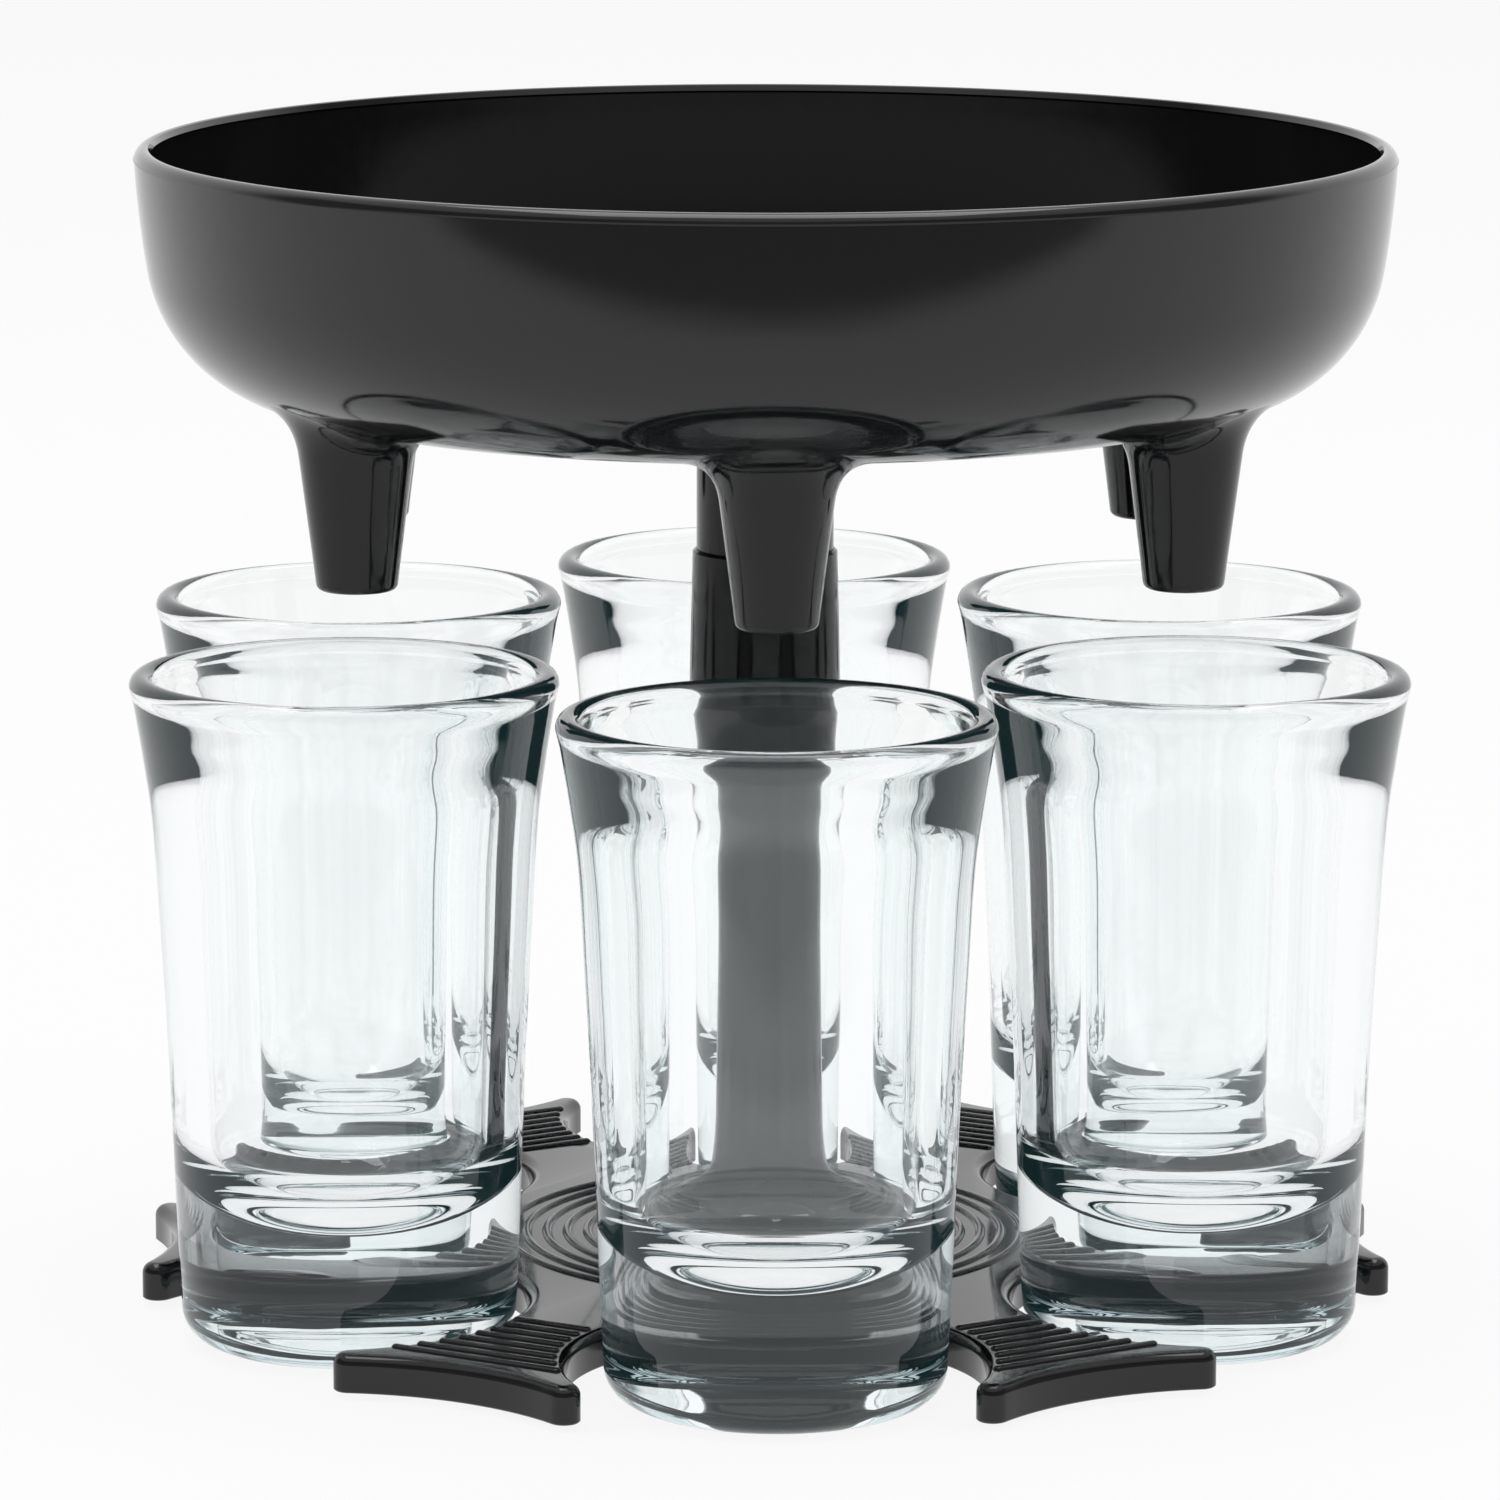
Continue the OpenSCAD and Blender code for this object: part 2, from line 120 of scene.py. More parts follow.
def black_plastic(name, rough, wave, ior=PLASTIC_IOR):
    """Moulded gloss black: a trace of colour variation, soft waves of the moulding, fine handling marks."""
    m, nt, b = material(name)
    vec = coords(nt)
    cloud = noise(nt, vec, 28.0, in_Detail=3.0)
    low, high = [[c * k for c in PLASTIC_COLOUR] for k in (0.9, 1.12)]
    nt.links.new(two_colours(nt, cloud, low, high, (0.3, 0.7)), b.inputs["Base Color"])
    marks = noise(nt, vec, 420.0, in_Detail=4.0, in_Roughness=0.7)
    spread_roughness(nt, b, marks, rough * 0.85, rough * 1.25, From_Min=0.35, From_Max=0.7)
    swell = noise(nt, vec, 55.0, in_Detail=1.0)
    add_bump(nt, b, swell, wave, 0.0004)
    b.inputs["IOR"].default_value = ior
    return m


def clear_glass(name, rough=0.02, ripple=0.05, size=120.0):
    """Soda-lime glass: slight ripples from the mould, and a body that tints thick parts blue-green."""
    m, nt, b = material(name)
    b.inputs["Base Color"].default_value = (0.994, 1.0, 0.999, 1)
    b.inputs["Transmission Weight"].default_value = 1.0
    b.inputs["IOR"].default_value = GLASS_IOR
    seed = noise(nt, coords(nt, (1, 1, 0.25)), size, in_Detail=2.0)
    add_bump(nt, b, seed, ripple, 0.0002)
    spread_roughness(nt, b, seed, 0.0, rough)
    # Fitted stand-in for light caught inside the walls, which a render with few bounces loses
    b.inputs["Emission Color"].default_value = (0.28, 0.80, 0.90, 1)
    b.inputs["Emission Strength"].default_value = 0.0034
    body = node(nt, "ShaderNodeVolumeAbsorption", in_Color=(0.40, 0.72, 0.80, 1), in_Density=3.0)
    nt.links.new(body.outputs["Volume"], nt.nodes["Material Output"].inputs["Volume"])
    return m


def plain_metal(name):
    """Screw steel with a fine grain in its colour."""
    m, nt, b = material(name)
    b.inputs["Metallic"].default_value = 1.0
    grain = noise(nt, coords(nt), 900.0, in_Detail=3.0)
    nt.links.new(two_colours(nt, grain, (0.42, 0.42, 0.44), (0.66, 0.66, 0.68)), b.inputs["Base Color"])
    b.inputs["Roughness"].default_value = 0.32
    return m


def foot_rubber(name):
    """Matt rubber with dust in it."""
    m, nt, b = material(name)
    dust = noise(nt, coords(nt), 300.0, in_Detail=5.0)
    nt.links.new(two_colours(nt, dust, (0.012, 0.012, 0.012), (0.035, 0.035, 0.034)), b.inputs["Base Color"])
    b.inputs["Roughness"].default_value = 0.75
    return m


BLACK = black_plastic("black_plastic", 0.09, 0.10)
# Lit and shaded copies of one plastic: their IORs paint each part's reflections brighter or darker
BLACK_PLATE = black_plastic("black_plastic_plate", 0.10, 0.06, PLATE_IOR)
BLACK_COLUMN = black_plastic("black_plastic_column", 0.11, 0.10, COLUMN_IOR)
BLACK_SPOUT = black_plastic("black_plastic_spout", 0.10, 0.10, SPOUT_IOR)
GLASS = clear_glass("clear_glass")
GLASS_FOOT = clear_glass("clear_glass_foot", 0.04, 0.14, 180.0)
STEEL = plain_metal("screw_steel")
RUBBER = foot_rubber("foot_rubber")


def dress(name, mat):
    slots = nodes[name].data.materials
    slots.clear()
    slots.append(mat)


# ---------------------------------------------------------------- mesh helpers
def new_mesh(name, verts, faces, mat, body, replaced, sharp):
    """A smooth-shaded piece from points in millimetres, on its body and in place of a CAD node."""
    me = bpy.data.meshes.new(name)
    me.from_pydata([[c * MM for c in v] for v in verts], [], faces)
    me.validate()
    me.update()
    o = bpy.data.objects.new(name, me)
    bpy.context.scene.collection.objects.link(o)
    me.materials.append(mat)
    bm = bmesh.new()
    bm.from_mesh(me)
    bmesh.ops.recalc_face_normals(bm, faces=bm.faces)
    bm.to_mesh(me)
    bm.free()
    for p in me.polygons:
        p.use_smooth = True
    me.set_sharp_from_angle(angle=math.radians(sharp))
    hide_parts(*replaced)
    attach(o, body)
    return o


def arc(x, y, r, a, b, n):
    """Points of an arc about (x, y), from a to b degrees."""
    turns = [math.radians(a + (b - a) * i / n) for i in range(n + 1)]
    return [(x + r * math.cos(t), y + r * math.sin(t)) for t in turns]


def smooth_curve(p, n):
    """Catmull-Rom curve through the points, n steps between neighbours."""
    out = []
    q = [p[0]] + list(p) + [p[-1]]
    for i in range(1, len(q) - 2):
        a, b, c, d = q[i - 1:i + 3]
        for k in range(n):
            t = k / n
            out.append(tuple(
                0.5 * ((2 * b[j]) + (-a[j] + c[j]) * t + (2 * a[j] - 5 * b[j] + 4 * c[j] - d[j]) * t * t
                       + (-a[j] + 3 * b[j] - 3 * c[j] + d[j]) * t ** 3) for j in range(2)))
    out.append(p[-1])
    return out


def revolve(profile, steps, cx=0.0, cy=0.0, turn=0.0):
    """Closed surface of revolution about the vertical at (cx, cy). Points on the axis become poles."""
    verts, faces, rows = [], [], []
    for r, z in profile:
        if r < 1e-6:
            rows.append([len(verts)])
            verts.append((cx, cy, z))
        else:
            row = []
            for i in range(steps):
                a = turn + 2 * math.pi * i / steps
                row.append(len(verts))
                verts.append((cx + r * math.cos(a), cy + r * math.sin(a), z))
            rows.append(row)
    pairs = list(zip(rows, rows[1:]))
    if len(rows[0]) > 1:
        pairs.append((rows[-1], rows[0]))
    for lo, hi in pairs:
        for i in range(steps):
            k = (i + 1) % steps
            if len(lo) == 1 and len(hi) == 1:
                continue
            if len(lo) == 1:
                faces.append((lo[0], hi[i], hi[k]))
            elif len(hi) == 1:
                faces.append((lo[i], lo[k], hi[0]))
            else:
                faces.append((lo[i], lo[k], hi[k], hi[i]))
    return verts, faces


# ---------------------------------------------------------------- glasses
GLASS_H, RIM_R, MID_R, FOOT_R = 71.4, 22.5, 19.1, 17.75
GLASS_WALL, GLASS_FLOOR, BEAD_R, FOOT_ROUND = 2.6, 12.8, 1.3, 3.6
WELL_ROUND_R, WELL_ROUND_H = 13, 9.5
PUNT_H, PUNT_IN = 2.1, 4.2


def glass_profile():
    """Outline of a glass, from the middle of its underside round to the middle of its inside floor. The
    height, the floor's height and the outside above the foot are the solid's. The foot's rounding, the
    underside and the inside wall are not: the wall is thicker, by an estimate from the photograph."""
    h, rim, lip = GLASS_H, RIM_R, RIM_R - GLASS_WALL
    well = lip - 5.4
    well_top = GLASS_FLOOR + WELL_ROUND_H
    outer = smooth_curve(
        [(FOOT_R, FOOT_ROUND), (FOOT_R + 0.45, 14), (FOOT_R + 0.85, 25), (MID_R, 36), (MID_R + 0.5, 45),
         (rim - 2.3, 55.5), (rim - 1.45, 62), (rim - 0.75, h - 5), (rim - 0.45, h - 3.2)], 6)
    inner = smooth_curve(
        [(lip - 0.6, h - 3.2), (lip - 1.7, h - 6), (lip - 3.5, 60), (lip - 4.5, 52), (lip - 5.0, 40),
         (lip - 5.3, 28), (well, well_top)], 6)
    # The underside is hollowed, so that it stands on a ring
    ring = FOOT_R - PUNT_IN
    quarter = [math.radians(90 * k / 14) for k in range(14)]
    punt = [(ring * math.sin(t), PUNT_H * math.cos(t) ** 0.8 + 0.05) for t in quarter]
    bowl = [math.radians(4.5 * k) for k in range(1, 21)]
    floor = [(well - WELL_ROUND_R + WELL_ROUND_R * math.cos(t), well_top - WELL_ROUND_H * math.sin(t))
             for t in bowl]
    return (punt + [(ring + 0.3, 0.0)]
            + arc(FOOT_R - FOOT_ROUND, FOOT_ROUND, FOOT_ROUND, -88, 0, 12) + outer[1:]
            + arc(rim - BEAD_R, h - BEAD_R, BEAD_R, -20, 200, 16) + inner + floor + [(0, GLASS_FLOOR)])


FOOT_ZONE = 0.0022  # metres up from the table: the underside takes the rippled glass

for name, a in zip(NAMES, ANGLES):
    t = math.radians(a)
    v, f = revolve(glass_profile(), 96, GLASS_R * math.cos(t), GLASS_R * math.sin(t), t)
    o = new_mesh("shot_glass_" + name, v, f, GLASS, "glass_%s_body" % name, ["glass_" + name],
                 50)
    o.data.materials.append(GLASS_FOOT)
    for p in o.data.polygons:
        if p.center.z < FOOT_ZONE and p.normal.z < -0.3:
            p.material_index = 1

dress("column", BLACK_COLUMN)
dress("stem", BLACK_COLUMN)
dress("base_feet", RUBBER)
dress("column_screw", STEEL)
dress("screw_washer", STEEL)

# ---------------------------------------------------------------- bowl
BOWL_R, WALL, FLOOR_T, BORE, COLLAR_R, BAND_R = 67.3, 1.6, 1.8, 6.07, 9.2, 1.25
SOCKET_TOP = COLLAR_Z + 12.5
DOME_TOP, DOME_R = SOCKET_TOP + FLOOR_T + 0.3, 9.6
SIDE_R, LEAN_TOP, LEAN_LOW = 110.0, 3.1, 9.3
SIDE_X = BOWL_R - SIDE_R * math.cos(math.radians(LEAN_TOP))
SIDE_Z = PART_Z + SIDE_R * math.sin(math.radians(LEAN_TOP))
CS_X = SIDE_X + SIDE_R * math.cos(math.radians(LEAN_LOW))
CS_Z = SIDE_Z - SIDE_R * math.sin(math.radians(LEAN_LOW))
CORNER_R = (CS_Z - UNDER_Z) / (1 - math.sin(math.radians(LEAN_LOW)))
CORNER_X = CS_X - CORNER_R * math.cos(math.radians(LEAN_LOW))
CORNER_Z = UNDER_Z + CORNER_R
SPOUT_TIP_R, SPOUT_ROOT_R, BLEND = 4.3, 6.35, 3.4
INLET_R, OUTLET_R, TIP_ROUND, TIP_EDGE = 4.8, 2.9, 0.8, 0.9
HOLE_R = 4.88  # hole in the shell at each spout, just outside the spout's own inlet
FLAT_X = SPOUT_R - SPOUT_ROOT_R - BLEND - 1
FLOOR_Z = UNDER_Z + FLOOR_T


def side(t):
    """The bowl's corner and bowed side, drawn inwards by t."""
    return (arc(CORNER_X, CORNER_Z, CORNER_R - t, -90, -LEAN_LOW, 26)
            + arc(SIDE_X, SIDE_Z, SIDE_R - t, -LEAN_LOW, -LEAN_TOP, 8)[1:])


def bowl_profile():
    """From the top of the stem's socket, down and round the outside to the dome on the inside floor."""
    lip = BOWL_R - WALL
    out = [(0, SOCKET_TOP), (BORE, SOCKET_TOP), (BORE, COLLAR_Z + 0.2), (BORE + 0.2, COLLAR_Z)]
    out += arc(COLLAR_R - 0.4, COLLAR_Z + 0.4, 0.4, -90, 0, 4)
    out += arc(COLLAR_R + 1.0, UNDER_Z + 1.5 - 1.08, 1.0, 180, 92, 6)
    out += [(FLAT_X - 6, UNDER_Z + 0.3), (FLAT_X - 2, UNDER_Z + 0.07), (FLAT_X, UNDER_Z)]
    out += side(0)
    out += [(BOWL_R + 0.10, PART_Z + 0.04), (BOWL_R + 0.02, PART_Z + 0.16)]
    out += arc(BOWL_R - BAND_R, PART_Z, BAND_R, 12, 75, 7)
    out += [(lip + 0.35, RIM_Z), (lip + 0.1, RIM_Z - 0.1), (lip - 0.2, RIM_Z - 0.7)]
    inner = [(r, z + FLOOR_T - WALL) for r, z in side(WALL)]
    out += inner[::-1]
    out += [(FLAT_X, FLOOR_Z)]
    out += arc(DOME_R + 1.6, UNDER_Z + FLOOR_T + 1.5 + 2, 2, 270, 180, 6)
    out += arc(DOME_R - 3.4, DOME_TOP - 3, 3, 0, 90, 8)
    return out + [(0, DOME_TOP)]


def corner_drop(q, r):
    return math.sqrt(max(0.0, q ** 2 - (r - CORNER_X) ** 2))


def under_at(r):
    """Height of the bowl's underside at this radius."""
    return UNDER_Z if r <= CORNER_X else CORNER_Z - corner_drop(CORNER_R, r)


def floor_at(r):
    """Height of the bowl's inside floor at this radius."""
    return FLOOR_Z if r <= CORNER_X else CORNER_Z + FLOOR_T - WALL - corner_drop(CORNER_R - WALL, r)


def cone_r(z):
    """Radius of a spout's tapered outside at this height."""
    taper = (SPOUT_ROOT_R - SPOUT_TIP_R) / (SPOUT_L - TIP_EDGE)
    return SPOUT_ROOT_R - taper * (UNDER_Z - z)


def spout(turn_deg, sides=72):
    """One spout: tapered tube, rounded lower edge, blend that runs out on the underside, funnel inside."""
    rings = []
    for i in range(sides):
        a = 2 * math.pi * i / sides
        ca, sa = math.cos(a), math.sin(a)

        def centre(rho):
            """Distance from the bowl's axis of the point at rho from the spout's axis."""
            return math.hypot(SPOUT_R + rho * ca, rho * sa)
        corner_z = under_at(centre(SPOUT_ROOT_R))
        mid = (cone_r(corner_z), corner_z)
        lo_z = corner_z - BLEND * 1.15
        lo = (cone_r(lo_z), lo_z)
        far = SPOUT_ROOT_R + BLEND
        hi = (far, under_at(centre(far)) + 0.004)
        col = [(OUTLET_R, TIP_Z + 0.3), (OUTLET_R + 0.3, TIP_Z)]
        col += arc(SPOUT_TIP_R - TIP_ROUND, TIP_Z + TIP_ROUND, TIP_ROUND, -90, 0, 6)
        for z in [TIP_Z + 1 + k * (lo_z - TIP_Z - 1) / 5 for k in range(1, 5)]:
            col.append((cone_r(z), z))
        for k in range(13):
            t = k / 12
            col.append(tuple((1 - t) ** 2 * lo[j] + 2 * t * (1 - t) * mid[j] + t * t * hi[j] for j in (0, 1)))
        top = floor_at(centre(INLET_R))
        col += [(far, hi[1] + 0.6), (6.2, top - 0.5), (INLET_R + 0.1, top - 0.02), (INLET_R, top - 0.05)]
        col += [(INLET_R, FLOOR_Z - 0.3), (OUTLET_R, TIP_Z + 4)]
        rings.append([(SPOUT_R + r * ca, r * sa, z) for r, z in col])
    n = len(rings[0])
    ct, st = math.cos(math.radians(turn_deg)), math.sin(math.radians(turn_deg))
    verts = [(x * ct - y * st, x * st + y * ct, z) for ring in rings for x, y, z in ring]
    faces = []
    for i in range(sides):
        k = (i + 1) % sides
        for j in range(n):
            m = (j + 1) % n
            faces.append((i * n + j, k * n + j, k * n + m, i * n + m))
    return verts, faces


def drill_spout_holes(shell, r=HOLE_R, n=64):
    """Cut the six spout holes out of the bowl's shell and keep the cut mesh."""
    verts, faces = [], []
    for a in ANGLES:
        x, y = SPOUT_R * math.cos(math.radians(a)), SPOUT_R * math.sin(math.radians(a))
        base = len(verts)
        for z in (UNDER_Z - 3, UNDER_Z + 12):
            for px, py in arc(x, y, r, 0, 360, n)[:n]:
                verts.append((px * MM, py * MM, z * MM))
        faces += [(base + i, base + (i + 1) % n, base + n + (i + 1) % n, base + n + i) for i in range(n)]
        faces += [tuple(base + i for i in range(n - 1, -1, -1)), tuple(base + n + i for i in range(n))]
    me = bpy.data.meshes.new("spout_holes")
    me.from_pydata(verts, [], faces)
    cutter = bpy.data.objects.new("spout_holes", me)
    bpy.context.scene.collection.objects.link(cutter)
    mod = shell.modifiers.new("holes", "BOOLEAN")
    mod.operation = "DIFFERENCE"
    mod.solver = "EXACT"
    mod.object = cutter
    graph = bpy.context.evaluated_depsgraph_get()
    cut = bpy.data.meshes.new_from_object(shell.evaluated_get(graph))
    shell.modifiers.clear()
    shell.data = cut
    for p in cut.polygons:
        p.use_smooth = True
    cut.set_sharp_from_angle(angle=math.radians(40))
    bpy.data.objects.remove(cutter)


v, f = revolve(bowl_profile(), 240)
shell = new_mesh("bowl_shell", v, f, BLACK, "bowl_body", ["bowl"], 40)
drill_spout_holes(shell)
for name, a in zip(NAMES, ANGLES):
    v, f = spout(a)
    new_mesh("bowl_spout_" + name, v, f, BLACK_SPOUT, "bowl_body", ["bowl"], 40)

# ---------------------------------------------------------------- base plate
SC_X, SC_Y = 54.6 * math.cos(math.pi / 6), 54.6 * 0.5
SC_R, TIP_R, TIP_Y, ARM_END = 21.7, 1.7, 12.75, 64.75
TIP_X = SC_X + math.sqrt((SC_R + TIP_R) ** 2 - (SC_Y - TIP_Y) ** 2)
END_R = ((TIP_X - ARM_END) ** 2 + TIP_Y ** 2 - TIP_R ** 2) / (2 * (TIP_R + TIP_X - ARM_END))
END_X = ARM_END + END_R
TIP_IN = math.degrees(math.atan2(SC_Y - TIP_Y, SC_X - TIP_X))
TIP_OUT = math.degrees(math.atan2(-TIP_Y, END_X - TIP_X))
END_HALF = math.degrees(math.atan2(TIP_Y, END_X - TIP_X))


def spun(k, points):
    """Points in the plane, turned to arm k."""
    c, q = math.cos(k * math.pi / 3), math.sin(k * math.pi / 3)
    return [(x * c - y * q, x * q + y * c) for x, y in points]


def star(s):
    """Outline of the six-armed plate, drawn inwards by s."""
    up = (arc(END_X, 0, END_R + s, 180, 180 - END_HALF, 10)
          + arc(TIP_X, TIP_Y, TIP_R - s, TIP_OUT, TIP_IN, 14)[1:]
          + arc(SC_X, SC_Y, SC_R + s, TIP_IN - 180, 30 - 180, 40)[1:])
    arm = [(x, -y) for x, y in up[::-1]][:-1] + up[:-1]
    return [p for k in range(6) for p in spun(k, arm)]


def loft(rings, cap_low=True, cap_high=True):
    """Skin over rings of equal count, with flat caps."""
    n = len(rings[0])
    verts = [p for r in rings for p in r]
    faces = [(j * n + i, j * n + (i + 1) % n, (j + 1) * n + (i + 1) % n, (j + 1) * n + i)
             for j in range(len(rings) - 1) for i in range(n)]
    if cap_low:
        faces.append(tuple(range(n - 1, -1, -1)))
    if cap_high:
        faces.append(tuple((len(rings) - 1) * n + i for i in range(n)))
    return verts, faces


def joined(parts):
    """Several (points, faces) pairs as one."""
    verts, faces = [], []
    for v, f in parts:
        o = len(verts)
        verts += v
        faces += [tuple(i + o for i in g) for g in f]
    return verts, faces


def tube(r_in, r_out, z0, z1, cx=0.0, cy=0.0, n=64):
    return revolve([(r_in, z0), (r_out, z0), (r_out, z1), (r_in, z1)], n, cx, cy)


def at_height(points, z):
    return [(x, y, z) for x, y in points]


ROUND, SKIRT, POCKET, CHAMFER = 1.2, 1.6, PLATE_TOP - 1.7, 0.15
layers = [at_height(star(CHAMFER), PLATE_Z), at_height(star(0), PLATE_Z + CHAMFER)]
for i in range(9):
    t = math.radians(90 * i / 8)
    layers.append(at_height(star(ROUND * (1 - math.cos(t))), PLATE_TOP - ROUND * (1 - math.sin(t))))
n = len(layers[0])
inner = [at_height(star(SKIRT), z) for z in (POCKET, PLATE_Z)]
v, f = joined([loft(layers, cap_low=False), loft(inner, cap_high=False)])
m = len(v) - n  # the inner skin's lowest ring, joined to the outer skin's lowest
f += [(i, m + i, m + (i + 1) % n, (i + 1) % n) for i in range(n)]
new_mesh("plate_star", v, f, BLACK_PLATE, "base", ["base_plate"], 40)

# Underside: screw boss with the washer's recess, ring web, and on each arm a foot pad and a web
RING_START, WEB, SCREW_HOLE_R, BOSS_R, RECESS_R = 19.3, 1.4, 2.25, 6.2, 5.3
PAD_X, PAD_R, PAD_HOLE_R, PLUG_R, PAD_IN = 58, 5.0, 3.65, 4.2, 1.2
WEB_TOP = POCKET + 0.3
under = [tube(SCREW_HOLE_R, BOSS_R, PLATE_Z + 1.9, PLATE_TOP - 0.5),
         tube(RECESS_R, BOSS_R, PLATE_Z, PLATE_Z + 2.0),
         tube(RING_START, RING_START + WEB, PLATE_Z, WEB_TOP, n=128)]
for k in range(6):
    px, py = spun(k, [(PAD_X, 0)])[0]
    under.append(tube(PAD_HOLE_R, PAD_R, PLATE_Z, WEB_TOP, px, py))
    plug = [(0, PLATE_Z + PAD_IN), (PLUG_R, PLATE_Z + PAD_IN), (PLUG_R, WEB_TOP), (0, WEB_TOP)]
    under.append(revolve(plug, 48, px, py))
    strip = spun(k, [(6, -WEB / 2), (53.5, -WEB / 2), (53.5, WEB / 2), (6, WEB / 2)])
    under.append(loft([at_height(strip, z) for z in (PLATE_Z, WEB_TOP)]))
v, f = joined(under)
new_mesh("plate_webs", v, f, BLACK_PLATE, "base", ["base_plate"], 40)

# Ribs: a flat arch in section, eight across each arm, and five rings round the column's foot
RIB_W, RIB_H, RIB_STEP, RIB_START, RIB_MARGIN, RIB_IN = 1.1, 0.35, 2.22, 46.1, 0.95, 0.15
RIB_EDGE = ((RIB_W / 2) ** 2 - RIB_H ** 2) / (2 * RIB_H)
RIB_R = RIB_EDGE + RIB_H


def rib_z(w):
    """Height of a rib's skin at w from its middle line."""
    return PLATE_TOP - RIB_EDGE + math.sqrt(RIB_R ** 2 - w ** 2)


ribs = []
for k in range(6):
    for i in range(8):
        x0 = RIB_START + i * RIB_STEP
        half = SC_Y - math.sqrt(SC_R ** 2 - (x0 - SC_X) ** 2) - RIB_MARGIN - RIB_W / 2
        rows = []
        for w in (RIB_W / 2, 0.5, 0.42, 0.32, 0.2, 0.08):
            ring = arc(x0, half, w, 0, 180, 10) + arc(x0, -half, w, 180, 360, 10)
            rows.append(at_height(spun(k, ring), rib_z(w) if rows else PLATE_TOP - RIB_IN))
        ribs.append(loft(rows))
for i in range(5):
    r0 = RING_START + i * RIB_STEP
    steps = (-0.55, -0.42, -0.28, -0.14, 0, 0.14, 0.28, 0.42, 0.55)
    section = [(r0 - RIB_W / 2, PLATE_TOP - RIB_IN)] + [(r0 + d, rib_z(d)) for d in steps]
    ribs.append(revolve(section + [(r0 + RIB_W / 2, PLATE_TOP - RIB_IN)], 160))
v, f = joined(ribs)
new_mesh("plate_ribs", v, f, BLACK_PLATE, "base", ["base_plate"], 60)
LOCATE_IN, LOCATE_OUT, LOCATE_H = 9.75, 11.1, 1.2
v, f = tube(LOCATE_IN, LOCATE_OUT, PLATE_TOP - 0.3, PLATE_TOP + LOCATE_H, n=96)
new_mesh("plate_locating_ring", v, f, BLACK_PLATE, "base", ["base_plate"], 40)


# ---------------------------------------------------------------- floor, backdrop, light
class Wires:
    """Short calls for the maths of a node tree."""

    def __init__(self, nt):
        self.nt = nt

    def math(self, op, a, b):
        n = node(self.nt, "ShaderNodeMath", operation=op)
        for i, v in enumerate((a, b)):
            if isinstance(v, (int, float)):
                n.inputs[i].default_value = v
            else:
                self.nt.links.new(v, n.inputs[i])
        return n.outputs[0]

    def ramp(self, v, start, end, low, high):
        """From low to high as v goes from start to end, easing at both ends."""
        n = node(self.nt, "ShaderNodeMapRange", interpolation_type="SMOOTHSTEP")
        set_inputs(n, From_Min=start, From_Max=end, To_Min=low, To_Max=high)
        self.nt.links.new(v, n.inputs["Value"])
        return n.outputs["Result"]

    def axes(self, kind):
        tc = self.nt.nodes.new("ShaderNodeTexCoord")
        sep = self.nt.nodes.new("ShaderNodeSeparateXYZ")
        self.nt.links.new(tc.outputs[kind], sep.inputs["Vector"])
        return sep.outputs


FLOOR_Z_M, FLOOR_RADIUS = -0.0002, 3.2  # metres
FLOOR_WHITE = 0.90  # share of plain white in what the camera, reflections and glass see of the floor
DIFFUSE_LEVEL = 0.34  # even light of the world on plain surfaces


def studio_floor():
    """Pale floor: white to the camera, to reflections and through glass, and still takes the shadow."""
    mat, nt, b = material("studio_floor")
    w = Wires(nt)
    set_inputs(b, Base_Color=(0.88, 0.88, 0.88, 1), Roughness=0.9, Specular_IOR_Level=0.1)
    rays = nt.nodes.new("ShaderNodeLightPath").outputs
    # The table's front edge: reflections and glass meet a dimmer room beyond it
    edge = w.ramp(w.axes("Object")["Y"], -0.37, -0.28, 0.21, 1.0)
    white = node(nt, "ShaderNodeEmission", in_Color=(1, 1, 1, 1))
    nt.links.new(w.math("MAXIMUM", edge, rays["Is Camera Ray"]), white.inputs["Strength"])
    direct = w.math("MAXIMUM", rays["Is Camera Ray"], rays["Is Glossy Ray"])
    share = w.math("MULTIPLY", w.math("MAXIMUM", direct, rays["Is Transmission Ray"]), FLOOR_WHITE)
    mix = nt.nodes.new("ShaderNodeMixShader")
    nt.links.new(share, mix.inputs["Fac"])
    nt.links.new(b.outputs["BSDF"], mix.inputs[1])
    nt.links.new(white.outputs["Emission"], mix.inputs[2])
    nt.links.new(mix.outputs["Shader"], nt.nodes["Material Output"].inputs["Surface"])
    bpy.ops.mesh.primitive_circle_add(vertices=96, radius=FLOOR_RADIUS, fill_type="NGON",
                                      location=(0, 0, FLOOR_Z_M))
    floor = bpy.context.object
    floor.name = "studio_floor"
    floor.data.materials.append(mat)


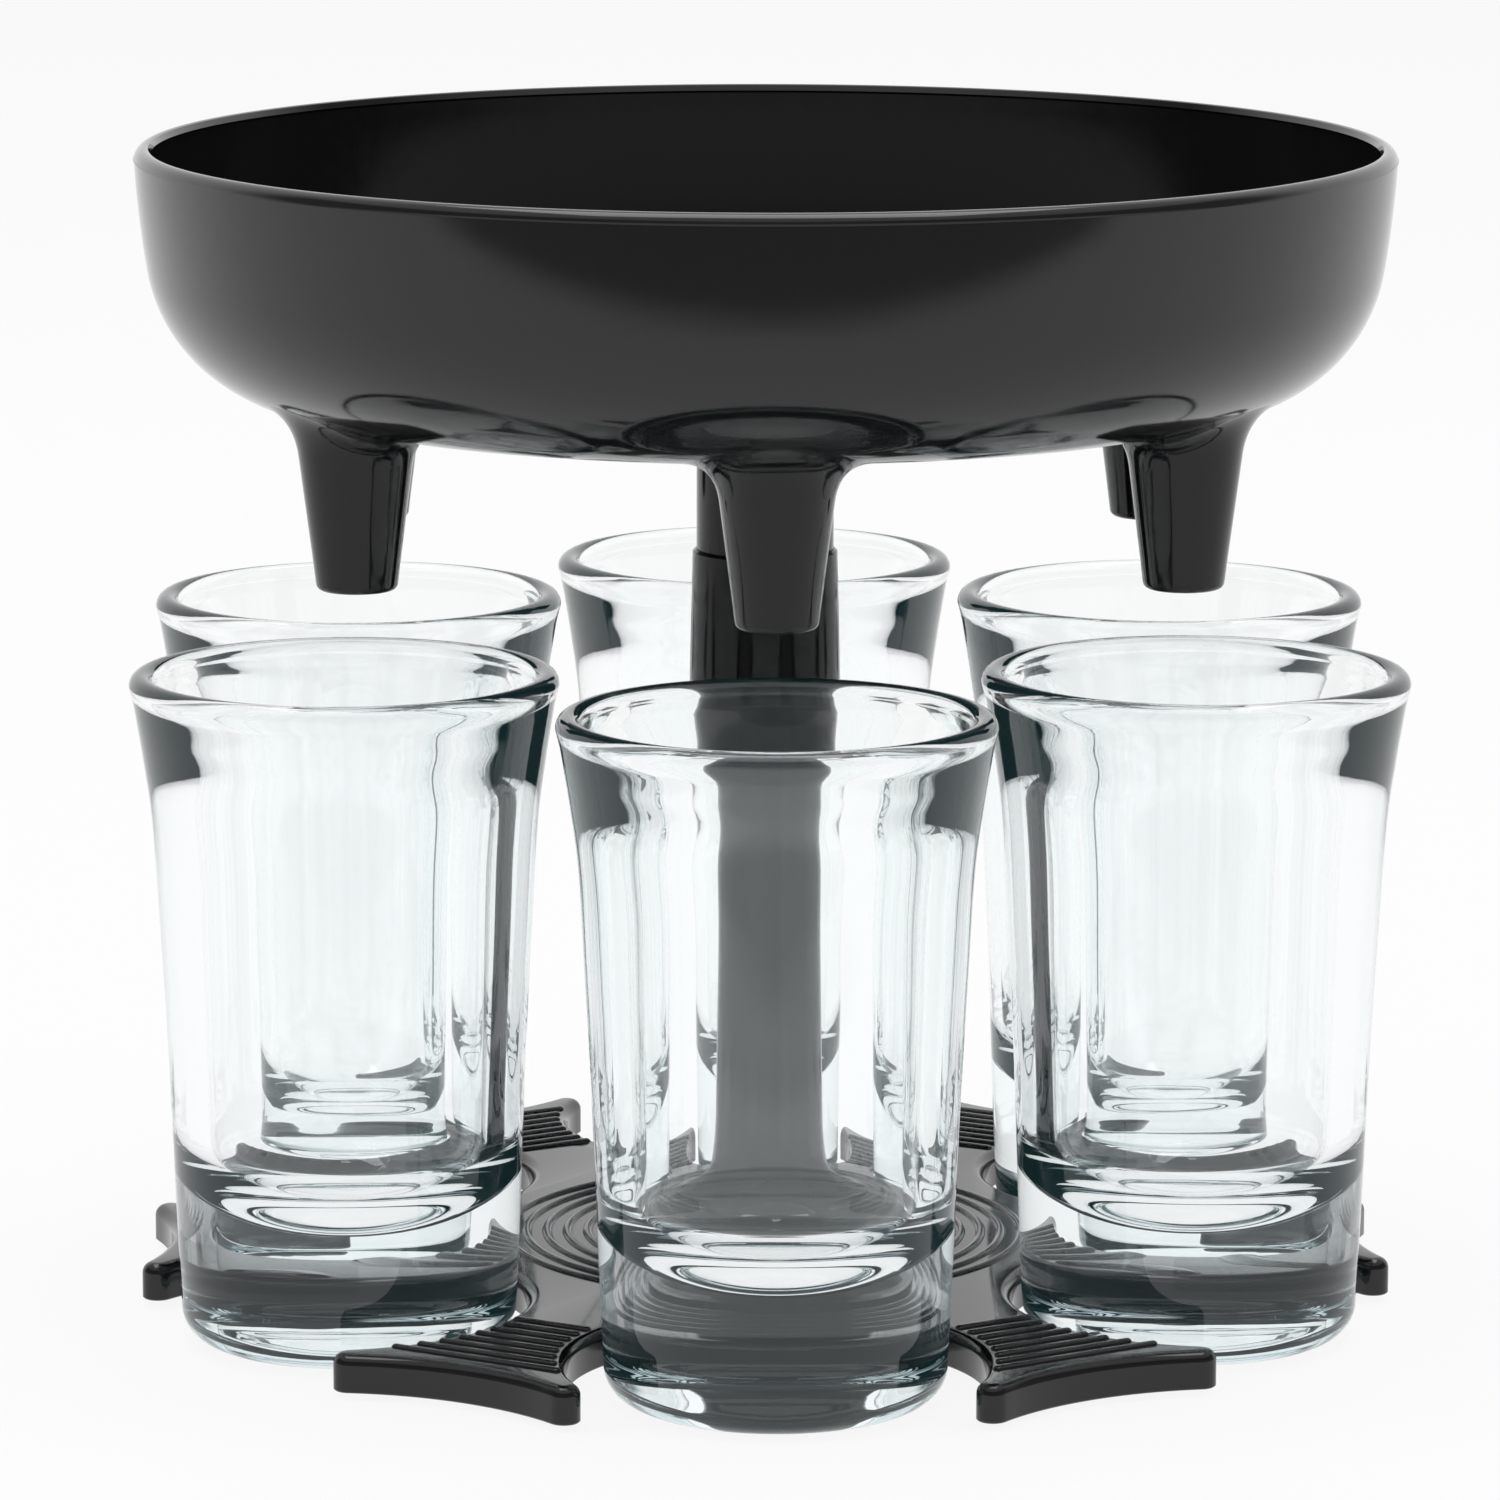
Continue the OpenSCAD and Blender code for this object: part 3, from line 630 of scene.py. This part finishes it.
def studio_world():
    """Reflections meet a white backdrop behind the object, a soft box overhead and dimmer walls to the
    sides and in front. Through glass the backdrop reads narrower and the room beside it darker and bluish,
    which draws the edges of the glasses. Plain surfaces are lit by an even, low level. The levels are
    fitted to the photograph."""
    world = bpy.data.worlds.new("studio_world")
    bpy.context.scene.world = world
    world.use_nodes = True
    nt = world.node_tree
    bg = nt.nodes["Background"]
    w = Wires(nt)
    rays = nt.nodes.new("ShaderNodeLightPath").outputs
    way = w.axes("Generated")
    behind = w.ramp(way["Y"], 0.05, 0.55, 0.0, 1.0)
    above = w.ramp(way["Z"], 0.50, 0.72, 0.0, 0.8)
    walls = w.ramp(way["Z"], -0.1, 0.5, 0.30, 0.18)
    mirrored = w.math("MAXIMUM", w.math("MAXIMUM", behind, above), walls)
    behind_glass = w.ramp(way["Y"], 0.50, 0.72, 0.19, 1.0)
    above_glass = w.ramp(way["Z"], 0.55, 0.80, 0.0, 0.7)
    refracted = w.math("MAXIMUM", behind_glass, above_glass)
    through = rays["Is Transmission Ray"]
    seen = w.math("ADD", w.math("MULTIPLY", refracted, through),
                  w.math("MULTIPLY", mirrored, w.math("SUBTRACT", 1.0, through)))
    level = w.math("MAXIMUM", seen, rays["Is Camera Ray"])
    even = rays["Is Diffuse Ray"]
    total = w.math("ADD", w.math("MULTIPLY", level, w.math("SUBTRACT", 1.0, even)),
                   w.math("MULTIPLY", even, DIFFUSE_LEVEL))
    nt.links.new(total, bg.inputs["Strength"])
    tint = node(nt, "ShaderNodeMix", data_type="RGBA")
    colours = [x for x in tint.inputs if x.type == "RGBA"]
    colours[0].default_value = (1, 1, 1, 1)
    colours[1].default_value = (0.80, 1.0, 1.06, 1)
    nt.links.new(w.math("MULTIPLY", through, w.math("SUBTRACT", 1.0, refracted)), tint.inputs["Factor"])
    nt.links.new([x for x in tint.outputs if x.type == "RGBA"][0], bg.inputs["Color"])


studio_floor()
studio_world()


def lamp(name, loc, target, watts, size, size_y):
    """Soft box at loc. Glass doesn't show it, and of the three only the overhead one is mirrored."""
    d = bpy.data.lights.new(name, "AREA")
    d.shape = "RECTANGLE"
    d.size = size
    d.size_y = size_y
    d.energy = watts
    o = bpy.data.objects.new(name, d)
    bpy.context.scene.collection.objects.link(o)
    o.location = loc
    o.rotation_euler = (Vector(target) - Vector(loc)).to_track_quat("-Z", "Y").to_euler()
    o.visible_glossy = name == "key_overhead"
    o.visible_transmission = False


lamp("key_overhead", (0.0, 0.1, 1.3), (0, 0, 0.05), 10, 1.0, 1.0)
lamp("side_left", (-1.2, -0.2, 0.5), (0, 0, 0.06), 4, 0.5, 0.9)
lamp("side_right", (1.2, -0.2, 0.5), (0, 0, 0.06), 4, 0.5, 0.9)

# ---------------------------------------------------------------- camera
# Solved from measured edges of the glasses, the bowl and the base. FOCAL_PX is the focal length in pixels
# of the photograph, which is IMAGE_PX wide. TURN turns the whole view about the object's axis.
FOCAL_PX, IMAGE_PX, SENSOR = 7538.4, 1500, 36.0
EYE = Vector((-0.000548, -0.80306, 0.20731))
PITCH, YAW, ROLL, TURN = 0.1837, 0.0013, 0.0016, math.radians(-1.35)
cam_data = bpy.data.cameras.new("camera")
cam = bpy.data.objects.new("camera", cam_data)
bpy.context.scene.collection.objects.link(cam)
bpy.context.scene.camera = cam
cam_data.sensor_width = SENSOR
cam_data.sensor_fit = "HORIZONTAL"
cam_data.lens = FOCAL_PX / IMAGE_PX * SENSOR
cam_data.clip_start = 0.01
cam_data.clip_end = 20
look = (Matrix.Rotation(YAW, 4, "Z") @ Matrix.Rotation(math.pi / 2 - PITCH, 4, "X")
        @ Matrix.Rotation(ROLL, 4, "Z"))
cam.matrix_world = Matrix.Rotation(TURN, 4, "Z") @ Matrix.Translation(EYE) @ look

bpy.context.scene.view_settings.view_transform = "Standard"
